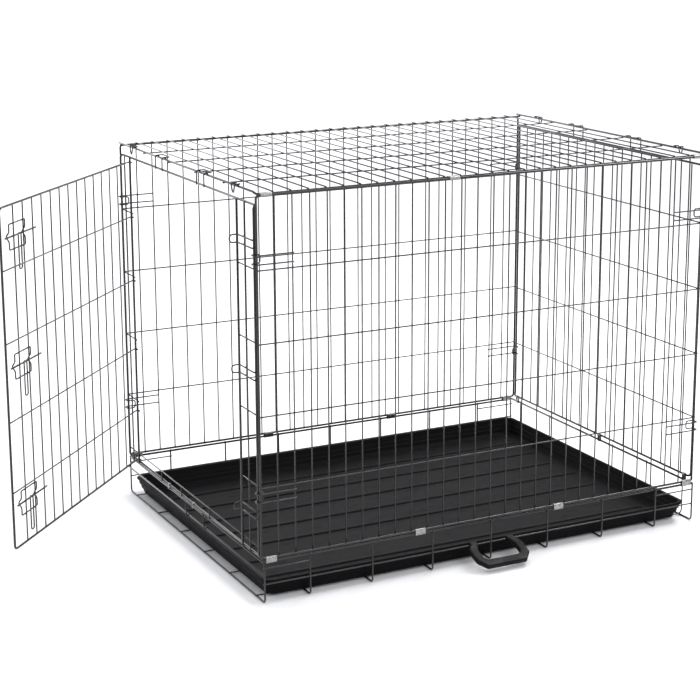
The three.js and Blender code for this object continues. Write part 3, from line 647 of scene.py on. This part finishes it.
def corner_catch(name):
    """A short V of wire over the lid's corner that hooks on the end."""
    lo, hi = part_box(name)
    end = 1 if lo.x > 0 else -1
    outside = end * max(abs(lo.x), abs(hi.x)) - end * THIN
    middle = 0.5 * (lo.y + hi.y)
    top, low = hi.z - THIN, lo.z + THIN
    spread = 0.5 * (hi.y - lo.y) - THIN
    corners = [
        (end * (HALF_L - 0.005), middle - spread, top), (outside, middle - spread, top),
        (outside, middle - 0.003, low), (outside, middle + 0.003, low),
        (outside, middle + spread, top), (end * (HALF_L - 0.005), middle + spread, top)]
    bundle = Bundle()
    bundle.bent(round_corners(corners, 0.0035), THIN)
    bundle.beads([(end * HALF_L, middle - spread, LID_EDGE_TOP),
                  (end * HALF_L, middle + spread, LID_EDGE_TOP)], (0.0028, 0.0021, 0.0011))
    bundle.piece(name, "lid", "black_wire", BLACK_WIRE, name)


lid()
for end in ("left", "right"):
    for index in (1, 2):
        lid_hook(f"top_hook_{end}_{index}")
        corner_catch(f"corner_catch_{end}_{index}")


# ---------- hairpin hooks that hold the ends to the long sides ----------
def side_hook(name):
    """A hairpin: two legs along the side, round the corner post and back inside the end."""
    lo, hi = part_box(name)
    side = 1 if lo.y > 0 else -1
    end = 1 if lo.x > 0 else -1
    outside = side * (max(abs(lo.y), abs(hi.y)) - THIN)
    inside = side * (min(abs(lo.y), abs(hi.y)) + THIN)
    start = end * min(abs(lo.x), abs(hi.x))
    far = end * (max(abs(lo.x), abs(hi.x)) - THIN)
    tip = end * (HALF_L - 0.012)
    low, high = lo.z + THIN, hi.z - THIN
    corners = [
        (start, outside, low), (far, outside, low), (far, inside, low), (tip, inside, low),
        (tip, inside, high), (far, inside, high), (far, outside, high), (start, outside, high)]
    bundle = Bundle()
    bundle.bent(round_corners(corners, 0.006), THIN)
    uprights = SIDE_UPRIGHTS[np.abs(SIDE_UPRIGHTS) > abs(start) - 0.004]
    for x in (*uprights[np.sign(uprights) == end], end * HALF_L):
        bundle.beads([(x, side * HALF_W, low), (x, side * HALF_W, high)],
                     (0.0019, 0.0012, 0.0019))
    bundle.piece(name, "crate", "black_wire", BLACK_WIRE, name)


for side in ("front", "back"):
    for end in ("left", "right"):
        for level in ("upper", "lower"):
            side_hook(f"side_hook_{side}_{end}_{level}")

# ---------- door: drawn flat, then turned to its rest angle ----------
DOOR_REST = math.radians(-44)
DOOR_MESH = 0.0044
DOOR_UPRIGHT = DOOR_MESH + 2 * THIN - WELD
DOOR_FRAME = 0.5 * (DOOR_MESH + DOOR_UPRIGHT)
DOOR_WIDTH = 0.611
DOOR_BOTTOM = PANEL_BOTTOM + 0.007
DOOR_TOP = END_TOP - 0.010
DOOR_ROW_DROPS = np.array([0.022, 0.022, 0.008, 0.008])
DOOR_EDGE = 0.014
DOOR_PITCH = (DOOR_WIDTH - DOOR_EDGE) / 14.4
DOOR_PLACES = DOOR_EDGE + DOOR_PITCH * np.arange(14)
BOLT_OUT = DOOR_UPRIGHT + THIN + GAP + MEDIUM


def on_door(points):
    """World places of points given as (from hinge to free edge, outward, height)."""
    points = np.asarray(points, float)
    x, y = -points[..., 1], -points[..., 0]
    c, s = math.cos(DOOR_REST), math.sin(DOOR_REST)
    return np.stack([HINGE_X + c * x - s * y, HINGE_Y + s * x + c * y, points[..., 2]], -1)


def door_panel():
    """A bent rim on three sides, upright wires, and rows that end in eyes round the hinge wire."""
    bundle = Bundle()
    rows = [DOOR_BOTTOM, *(ROWS[1:-1] - DOOR_ROW_DROPS), DOOR_TOP]
    rim = [(DOOR_EDGE, DOOR_FRAME, DOOR_BOTTOM), (DOOR_WIDTH, DOOR_FRAME, DOOR_BOTTOM),
           (DOOR_WIDTH, DOOR_FRAME, DOOR_TOP), (DOOR_EDGE, DOOR_FRAME, DOOR_TOP)]
    bundle.bent(on_door(round_corners(rim, 0.010, 10)), THICK)
    starts = on_door([(s, DOOR_UPRIGHT, DOOR_BOTTOM - 0.001) for s in DOOR_PLACES])
    ends = on_door([(s, DOOR_UPRIGHT, DOOR_TOP + 0.001) for s in DOOR_PLACES])
    bundle.straight(starts, ends, THIN)
    for z in rows:
        short = z in (DOOR_BOTTOM, DOOR_TOP)
        end = DOOR_EDGE + DOOR_PITCH + 0.0012 if short else DOOR_WIDTH + 0.001
        route = [(end, DOOR_MESH, z), (0.5 * end, DOOR_MESH, z), *eye_loop(z)]
        bundle.bent(on_door(route), THIN)
    half = 0.5 * (DOOR_MESH + DOOR_UPRIGHT)
    seam = on_door([(s, half, z) for s in DOOR_PLACES for z in rows])
    bundle.beads(seam, (0.0017, 0.0017, 0.0015), 6, 4)
    bundle.piece("door_panel", "door", "black_wire", BLACK_WIRE, "door_panel")


def eye_loop(z):
    """The row's end, curled from the door's face round the hinge wire."""
    turn = np.radians(np.linspace(0, 230, 14))
    return np.column_stack([-DOOR_MESH * np.sin(turn), DOOR_MESH * np.cos(turn), z + 0 * turn])


BOLT_TIP = DOOR_WIDTH - 0.029
BOLT_LENGTH = 0.132
BOLT_HANDLE = 0.074
HANDLE_FROM_TIP = 0.064
HAIRPIN_GAP = 0.012


def slide_bolt(index, z):
    """A straight bolt with a long hairpin handle that hangs below it."""
    near = BOLT_TIP - HANDLE_FROM_TIP
    far = near - HAIRPIN_GAP
    out = BOLT_OUT + 2 * MEDIUM + GAP
    low = z - BOLT_HANDLE
    bundle = Bundle()
    bundle.straight(
        on_door([(BOLT_TIP - BOLT_LENGTH, BOLT_OUT, z)]), on_door([(BOLT_TIP, BOLT_OUT, z)]), MEDIUM)
    pin = [(near, BOLT_OUT + 0.0015, z + 0.001), (near, out, z), (near, out, low),
           (far, out, low), (far, out, z), (far, BOLT_OUT + 0.0015, z + 0.001)]
    bundle.bent(on_door(round_corners(pin, 0.0058)), THIN)
    seam = on_door([(s, BOLT_OUT + 0.002, z) for s in (near, far)])
    bundle.beads(seam, (0.0024, 0.0024, 0.0022), 8, 5)
    bundle.piece(f"slide_bolt_{index}", f"bolt_{BOLTS[index - 1]}", "black_wire", BLACK_WIRE,
                 f"slide_bolt_{index}")


GUIDE_SPREAD = 0.026
GUIDE_NECK = 0.010
GUIDE_NEAR = DOOR_WIDTH - 0.045
GUIDE_FAR = GUIDE_NEAR - 0.068


def bolt_guide(index, z):
    """A closed loop of wire on the door: noses in its two ends stand out round the bolt."""
    seat = DOOR_UPRIGHT + 2 * THIN + GAP
    nose = seat + 0.007
    join = 0.5 * (GUIDE_NEAR + GUIDE_FAR)
    route = [
        (join + 0.0008, seat, z + GUIDE_SPREAD), (GUIDE_NEAR, seat, z + GUIDE_SPREAD),
        (GUIDE_NEAR, seat, z + GUIDE_NECK), (GUIDE_NEAR, nose, z),
        (GUIDE_NEAR, seat, z - GUIDE_NECK), (GUIDE_NEAR, seat, z - GUIDE_SPREAD),
        (GUIDE_FAR, seat, z - GUIDE_SPREAD), (GUIDE_FAR, seat, z - GUIDE_NECK),
        (GUIDE_FAR, nose, z), (GUIDE_FAR, seat, z + GUIDE_NECK),
        (GUIDE_FAR, seat, z + GUIDE_SPREAD), (join, seat, z + GUIDE_SPREAD)]
    bundle = Bundle()
    bundle.bent(on_door(round_corners(route, 0.0035)), THIN)
    held = DOOR_PLACES[(DOOR_PLACES > GUIDE_FAR) & (DOOR_PLACES < GUIDE_NEAR)]
    seam = [(s, seat - THIN, z + level) for s in held for level in (-GUIDE_SPREAD, GUIDE_SPREAD)]
    bundle.beads(on_door(seam), (0.0020, 0.0020, 0.0018), 8, 5)
    bundle.piece(f"bolt_guide_{index}", "door", "black_wire", BLACK_WIRE, f"bolt_guide_{index}")


door_panel()
for index, height in enumerate(BOLT_HEIGHTS, 1):
    slide_bolt(index, height)
    bolt_guide(index, height)

# ---------- floor frame ----------
RIM_HEIGHT = PANEL_BOTTOM - 0.007
HOOP_FLOOR = MEDIUM * math.sqrt(0.5)
HOOP_OUT = HALF_W + RIM_OUT + THICK + HOOP_FLOOR - WELD
HOOP_RADIUS = 0.0019
END_HOOP = HALF_L - 0.003
LONG_WIRE_Z = 2 * HOOP_FLOOR + THIN * math.sqrt(0.5) - WELD
LOW_RAIL = 0.040
HIGH_RAIL = 0.074
END_RAIL = 0.062
HOOP_PITCH = 0.1429
END_RAIL_X = END_HOOP + HOOP_FLOOR + MEDIUM - WELD


def floor_basket():
    bundle = Bundle()
    rim_x, rim_y = HALF_L - RIM_OUT, HALF_W + RIM_OUT
    rail_y = HOOP_OUT - HOOP_FLOOR - THIN + WELD
    hoops = [-END_HOOP, *((np.arange(7) - 3) * HOOP_PITCH), END_HOOP]
    for y in (-rim_y, rim_y):
        reach = rim_x + THICK
        bundle.straight([(-reach, y, RIM_HEIGHT)], [(reach, y, RIM_HEIGHT)], THICK)
        bundle.beads([(x, y * 1.005, RIM_HEIGHT) for x in hoops], (0.0022, 0.0022, 0.0022))
    for x in (-rim_x, rim_x):
        bundle.straight([(x, -rim_y, RIM_HEIGHT)], [(x, rim_y, RIM_HEIGHT)], THICK)
    for x in hoops:
        corners = [(x, -HOOP_OUT, RIM_HEIGHT + 0.002), (x, -HOOP_OUT, HOOP_RADIUS),
                   (x, HOOP_OUT, HOOP_RADIUS), (x, HOOP_OUT, RIM_HEIGHT + 0.002)]
        bundle.bent(round_corners(corners, 0.009), HOOP_RADIUS)
    reach = END_HOOP + 0.0026
    carried = np.linspace(-0.905, 0.905, 6) * HALF_W
    turn_up = rim_x + THICK + THIN - WELD
    for y in carried:
        corners = [(-reach, y, LONG_WIRE_Z), (turn_up, y, LONG_WIRE_Z),
                   (turn_up, y, RIM_HEIGHT + 0.002)]
        bundle.bent(round_corners(corners, 0.012), THIN)
    bundle.beads([(turn_up - THIN, y, RIM_HEIGHT) for y in carried], (0.0012, 0.0021, 0.0021))
    bundle.beads([(x, y, 0.0030) for x in hoops for y in carried], (0.0022, 0.0022, 0.0012), 6, 4)
    for y in (-rail_y, rail_y):
        bundle.straight([(-reach, y, LOW_RAIL)], [(reach, y, LOW_RAIL)], THIN)
        for end in (-1, 1):
            bundle.straight([(end * reach, y, HIGH_RAIL)],
                            [(end * (3 * HOOP_PITCH - 0.0026), y, HIGH_RAIL)], THIN)
        bundle.beads([(x, y + math.copysign(THIN, y), LOW_RAIL) for x in hoops],
                     (0.0021, 0.0011, 0.0021), 6, 4)
    across = HOOP_OUT + 0.0026
    bundle.straight([(-END_RAIL_X, -across, END_RAIL)], [(-END_RAIL_X, across, END_RAIL)], MEDIUM)
    bundle.beads([(-END_HOOP - 0.0016, y, END_RAIL) for y in (-HOOP_OUT, HOOP_OUT)],
                 (0.0018, 0.0024, 0.0024))
    bundle.piece("floor_frame", "crate", "black_wire", BLACK_WIRE, "floor_frame")


floor_basket()


# ---------- tray ----------
def tray_outline(left, right, half, chamfer, soft=0.006, steps=5):
    """A rectangle with cut corners, each turn of it rounded; the first point isn't repeated."""
    corners = [
        (left + chamfer, -half), (right - chamfer, -half), (right, -half + chamfer),
        (right, half - chamfer), (right - chamfer, half), (left + chamfer, half),
        (left, half - chamfer), (left, -half + chamfer)]
    corners = np.array([(*corner, 0.0) for corner in corners])
    share = np.linspace(0, 1, steps + 1)[:, None]
    route = []
    for before, corner, after in zip(np.roll(corners, 1, 0), corners, np.roll(corners, -1, 0)):
        start = corner + unit(before - corner) * soft
        end = corner + unit(after - corner) * soft
        route.append((1 - share) ** 2 * start + 2 * share * (1 - share) * corner + share ** 2 * end)
    return np.concatenate(route)


TRAY_WALL = 0.0025
TRAY_INNER = 0.013
TRAY_CHAMFER = 0.012


def tray():
    """Rings of one outline, stepped through the wall's profile from the underside to the floor."""
    bottom, rim = tray_lo.z, tray_hi.z
    floor = bottom + TRAY_WALL

    def ring(inset, z):
        outline = tray_outline(
            tray_lo.x + inset, tray_hi.x - inset, tray_hi.y - inset, TRAY_CHAMFER)
        outline[:, 2] = z
        return outline

    outside = [
        (0.0250, 0.0), (0.0170, 0.0), (0.0140, 0.0010), (0.0128, 0.0032),
        (0.0108, 0.0116), (0.0100, 0.0122), (0.0086, 0.0128), (0.0082, 0.0136),
        (0.0066, 0.0222), (0.0058, 0.0228), (0.0046, 0.0233), (0.0043, 0.0240),
        (0.0036, 0.0300), (0.0036, 0.0326), (0.0022, 0.0332), (0.0006, 0.0334),
        (0.0001, 0.0338), (0.0, 0.0346), (0.0, 0.0368), (0.0004, 0.0376), (0.0012, 0.0380)]
    inside = [
        (0.0046, 0.0380), (0.0058, 0.0376), (0.0068, 0.0364), (0.0072, 0.0250),
        (0.0080, 0.0240), (0.0100, 0.0234), (0.0106, 0.0226), (0.0112, 0.0146),
        (0.0120, 0.0138), (0.0134, 0.0133), (0.0140, 0.0124), (0.0152, 0.0060),
        (0.0164, 0.0034), (0.0190, TRAY_WALL), (0.0300, TRAY_WALL), (0.0312, 0.0018),
        (0.0330, 0.0018), (0.0342, TRAY_WALL), (0.0420, TRAY_WALL)]
    scale = (rim - bottom) / 0.038
    profile = [(inset, bottom + level * scale) for inset, level in outside + inside]
    rings = np.array([ring(inset, z) for inset, z in profile])
    bundle = Bundle()
    bundle.add_tube(rings)
    spread = between(7, tray_lo.y + TRAY_INNER, tray_hi.y - TRAY_INNER)
    start, end = tray_lo.x + 0.045, tray_hi.x - 0.045
    for y in spread:
        bundle.add_tube(rib(start, end, y, floor))
    bundle.piece("tray", "tray", "tray_plastic", TRAY_PLASTIC, "tray")


def rib(start, end, y, floor):
    """A low rounded rib: z = h * (1 - u^4) over its width, sunk at both ends."""
    along = np.array([0, 0.002, 0.006, 0.012, 0.02])
    x = np.concatenate([start + along, end - along[::-1]])
    rise = np.array([0.0, 0.35, 0.75, 0.95, 1.0])
    rise = np.concatenate([rise, rise[::-1]])
    u = np.linspace(-1, 1, 11)
    top = 0.0025 * (1 - u ** 4)
    z = floor - 0.0004 + rise[:, None] * (top + 0.0004)[None, :]
    upper = np.stack([np.repeat(x[:, None], 11, 1), np.repeat(y + 0.006 * u[None, :], len(x), 0), z], -1)
    under = upper[:, [9, 1]].copy()
    under[:, :, 2] = floor - 0.0008
    return np.concatenate([upper, under], 1)


tray()


def tray_stop():
    """A bail on the left end rail that hangs down behind the tray's lip, or stands clear."""
    lo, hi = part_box("tray_stop")
    eye = MEDIUM + GAP + THIN
    near, far = lo.y + THIN, hi.y - THIN
    top = hi.z - THIN
    leg = -END_RAIL_X - eye
    turn = np.radians(np.linspace(90, -180, 15))

    def curl(y):
        return np.column_stack([
            -END_RAIL_X + eye * np.cos(turn), y + 0 * turn, END_RAIL + eye * np.sin(turn)])

    bail = round_corners([
        (leg, near, END_RAIL + 0.001), (leg, near, top), (leg, far, top),
        (leg, far, END_RAIL + 0.001)], 0.008)
    bundle = Bundle()
    bundle.bent(np.concatenate([curl(near), bail, curl(far)[::-1]]), THIN)
    bundle.piece("tray_stop", "stop", "black_wire", BLACK_WIRE, "tray_stop")


tray_stop()


# ---------- crimped clips ----------
CLIP_WALL = 0.0008
CLIP_EDGE = 0.00035
CLIP_PINCH = 0.15
PINCH_WIDTH = 0.0015
GROOVE_DEPTH = 0.0004
WIDEST_PLAIN_CLIP = 0.016
GROOVE_PLACES = (-0.62, -0.54, -0.46, 0.46, 0.54, 0.62)


def clip(name, body):
    """A plated band closed round two wires: two half circles joined by straights, pinched between
    the wires, and carried across its width; a wide clip has a crimped groove near each edge."""
    lo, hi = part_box(name)
    size = [hi[k] - lo[k] for k in range(3)]
    centre = np.array([0.5 * (hi[k] + lo[k]) for k in range(3)])
    lid = name.startswith("lid")
    long_axis = 1 if lid else 2
    width_axis = 1 if name.split("_")[2] in ("left", "right") and not lid else 0
    other = 3 - long_axis - width_axis
    half_long = 0.5 * size[long_axis]
    half_wide = 0.5 * size[width_axis]
    half_thick = 0.5 * size[other]
    turns = np.linspace(0, 2 * np.pi, 41)[:-1] + 0.5 * np.pi
    along, through = np.sin(turns), np.cos(turns)
    middle = (half_long - half_thick) * np.sign(np.round(along, 6))
    waist = 1 - CLIP_PINCH * np.exp(-(middle / PINCH_WIDTH) ** 2)
    outer = np.stack([middle + half_thick * along, half_thick * through * waist], -1)
    bore = half_thick - CLIP_WALL
    inner = np.stack([middle + bore * along, bore * through * waist], -1)
    soft = CLIP_EDGE
    grooved = half_wide * np.array(GROOVE_PLACES)
    deepest = GROOVE_DEPTH if size[width_axis] > WIDEST_PLAIN_CLIP else 0.0
    depth = deepest * np.array([0, 1, 0, 0, 1, 0])
    layers = [
        (outer, -half_wide + soft),
        *((outer - np.sign(outer) * deep, place) for place, deep in zip(grooved, depth)),
        (outer, half_wide - soft), (outer - np.sign(outer) * soft, half_wide),
        (inner + np.sign(inner) * soft, half_wide), (inner, half_wide - soft), (inner, -half_wide + soft),
        (inner + np.sign(inner) * soft, -half_wide), (outer - np.sign(outer) * soft, -half_wide)]
    rings = []
    for line, across in layers:
        points = np.zeros((len(line), 3))
        points[:, long_axis], points[:, other] = line[:, 0], line[:, 1]
        points[:, width_axis] = across
        rings.append(points + centre)
    rings = np.array(rings)
    faces = ring_faces(len(rings), rings.shape[1], closed_along=True)
    handed = np.linalg.det(np.eye(3)[[long_axis, other, width_axis]])
    if handed > 0:
        faces = faces[:, ::-1]
    bundle = Bundle()
    bundle.add(rings, faces)
    bundle.piece(name, body, "zinc_clip", ZINC, name)


for side, count in (("front", 4), ("back", 4), ("left", 2), ("right", 3)):
    for index in range(1, count + 1):
        clip(f"floor_clip_{side}_{index}", "crate")
for index in (1, 2, 3):
    clip(f"lid_clip_{index}", "lid")


# ---------- carry handle ----------
def handle():
    """A moulded U on the front rail: a flat plate, bevelled on every edge, with two pivot eyes."""
    pivot = np.array(joints["handle_swing"]["pos_m"])
    droop = math.radians(22)
    half, bevel = 0.006, 0.0026
    outer = [(0.054, -0.002), (0.066, -0.0205), (0.0645, -0.0532), (0.047, -0.0745)]
    inner = [(0.037, -0.002), (0.0455, -0.0225), (0.0455, -0.0450), (0.0390, -0.0530)]

    def whole(side):
        corners = [(*point, 0.0) for point in side]
        mirrored = [(-x, y, z) for x, y, z in corners[::-1]]
        return round_corners(corners + mirrored, 0.004, 4)

    outer, inner = whole(outer), whole(inner)
    across = unit(inner - outer)
    up = np.array([0, 0, 1.0])
    rings = np.stack([
        outer + (bevel - half) * up, outer + bevel * across - half * up,
        inner - bevel * across - half * up, inner + (bevel - half) * up,
        inner + (half - bevel) * up, inner - bevel * across + half * up,
        outer + bevel * across + half * up, outer + (half - bevel) * up], 1)
    bundle = Bundle()

    def placed(points):
        y = points[..., 1] * math.cos(droop) - points[..., 2] * math.sin(droop)
        z = points[..., 1] * math.sin(droop) + points[..., 2] * math.cos(droop)
        return np.stack([points[..., 0] + pivot[0], y + pivot[1], z + pivot[2]], -1)

    bundle.add_tube(placed(rings[::-1]))
    turn = np.linspace(0, 2 * np.pi, 24, endpoint=False)
    for end in (-1, 1):
        x = end * np.array([0.0370, 0.0373, 0.0382, 0.0528, 0.0537, 0.0540])
        radius = np.array([0.0050, 0.0056, 0.0060, 0.0060, 0.0056, 0.0050])
        rings = []
        for place, size in [*zip(x, radius), *zip(x[::-1], np.full(6, 0.0021))]:
            rings.append(np.stack([place + 0 * turn, size * np.cos(turn), size * np.sin(turn)], -1))
        eye = placed(np.array(rings))
        faces = ring_faces(len(eye), 24, closed_along=True)
        if end > 0:
            faces = faces[:, ::-1]
        bundle.add(eye, faces)
    made = bundle.piece("carry_handle", "handle", "handle_plastic", HANDLE_PLASTIC, "carry_handle")
    made.data.polygons.foreach_set("use_smooth", np.zeros(len(made.data.polygons), bool))


handle()


# ---------- floor and lights ----------
def stage():
    """A pale floor that curves up behind: z = r * (1 - cos) past the turn."""
    mesh = bpy.data.meshes.new("floor")
    turn = np.linspace(0, np.pi / 2, 13)
    depth = np.concatenate([[-9.0, 7.0], 7.0 + 3.0 * np.sin(turn[1:]), [10.0]])
    height = np.concatenate([[0, 0], 3.0 * (1 - np.cos(turn[1:])), [12.0]])
    wide = np.array([-12.0, 12.0])
    x, y = np.meshgrid(wide, depth, indexing="ij")
    z = np.repeat(height[None, :], 2, 0)
    lift = cad_lo.z - 0.0002
    count = len(depth)
    faces = [(i, i + count, i + 1 + count, i + 1) for i in range(count - 1)]
    mesh.from_pydata(np.stack([x, y, z + lift], -1).reshape(-1, 3).tolist(), [], faces)
    mesh.polygons.foreach_set("use_smooth", np.ones(len(mesh.polygons), bool))
    pale = Finish("floor", Base_Color=(0.93, 0.93, 0.94, 1), Roughness=0.55,
                  Emission_Color=(1, 1, 1, 1), Emission_Strength=0.02)
    mesh.materials.append(pale.material)
    floor = bpy.data.objects.new("floor", mesh)
    bpy.context.scene.collection.objects.link(floor)


def lamp(name, place, target, size, power, tint=(1, 1, 1)):
    light = bpy.data.lights.new(name, "AREA")
    light.shape = "RECTANGLE"
    light.size, light.size_y = size
    light.energy = power
    light.color = tint
    made = bpy.data.objects.new(name, light)
    made.location = place
    aim = np.array(target) - np.array(place)
    flat = math.hypot(aim[0], aim[1])
    made.rotation_euler = (math.atan2(flat, -aim[2]), 0, math.atan2(aim[1], aim[0]) - math.pi / 2)
    bpy.context.scene.collection.objects.link(made)
    return made


def daylight(strength):
    world = bpy.data.worlds.new("studio")
    world.use_nodes = True
    background = world.node_tree.nodes["Background"]
    background.inputs["Color"].default_value = (0.96, 0.97, 1.0, 1)
    background.inputs["Strength"].default_value = strength
    bpy.context.scene.world = world


stage()
lamp("key", (2.4, 0.9, 3.2), (0, 0, 0.2), (1.6, 1.6), 105)
lamp("front", (0.4, -4.2, 3.0), (0, 0, 0.3), (3.0, 1.6), 48)
lamp("top", (0.0, 0.4, 4.6), (0, 0, 0.3), (4.0, 3.0), 60)
lamp("backdrop", (0.5, 5.0, 4.5), (0.5, 9.5, 2.5), (9.0, 1.0), 420)
daylight(0.80)
bpy.context.scene.view_settings.view_transform = "Standard"
